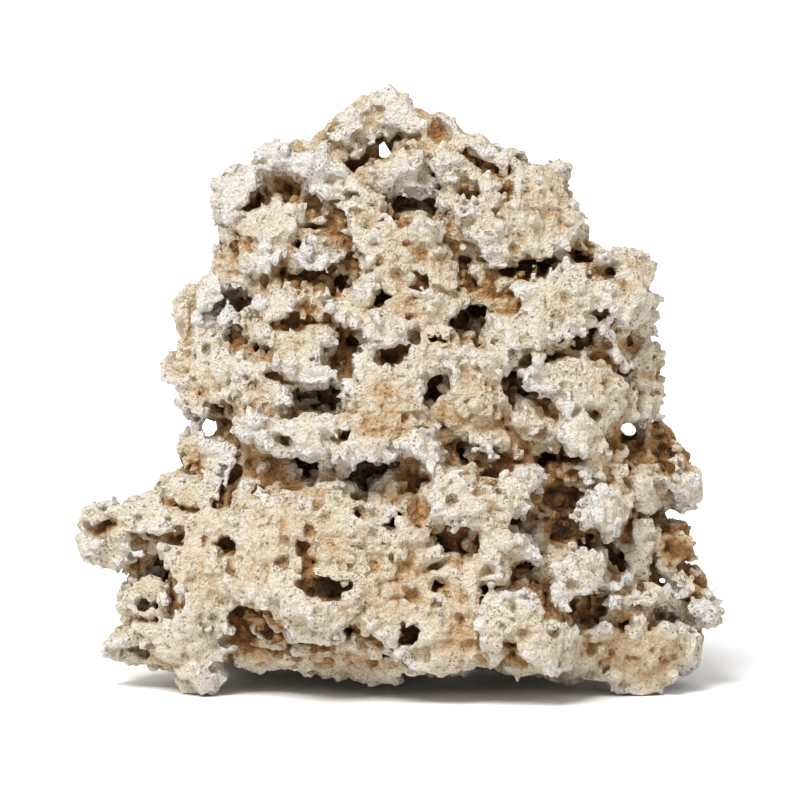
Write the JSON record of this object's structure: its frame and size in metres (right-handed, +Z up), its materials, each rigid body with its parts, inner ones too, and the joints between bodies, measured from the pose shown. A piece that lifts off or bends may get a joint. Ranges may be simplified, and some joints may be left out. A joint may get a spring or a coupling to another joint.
{
  "type": "dry reef rock",
  "caption": "Mound of dry, porous coral reef rock with ledges, knobs, caves and see-through gaps, for dressing an aquarium.",
  "frame": {"origin": "middle of the rock's box in plan, on the surface that the rock rests on", "axes": "+X to the right of the front, +Y to the back, +Z up"},
  "size_m": [0.259, 0.1632, 0.2399],
  "materials": {
    "reef_stone": "dull, chalky and porous"
  },
  "bodies": {
    "root": {"reef_rock": "reef_stone"}
  },
  "joints": []
}
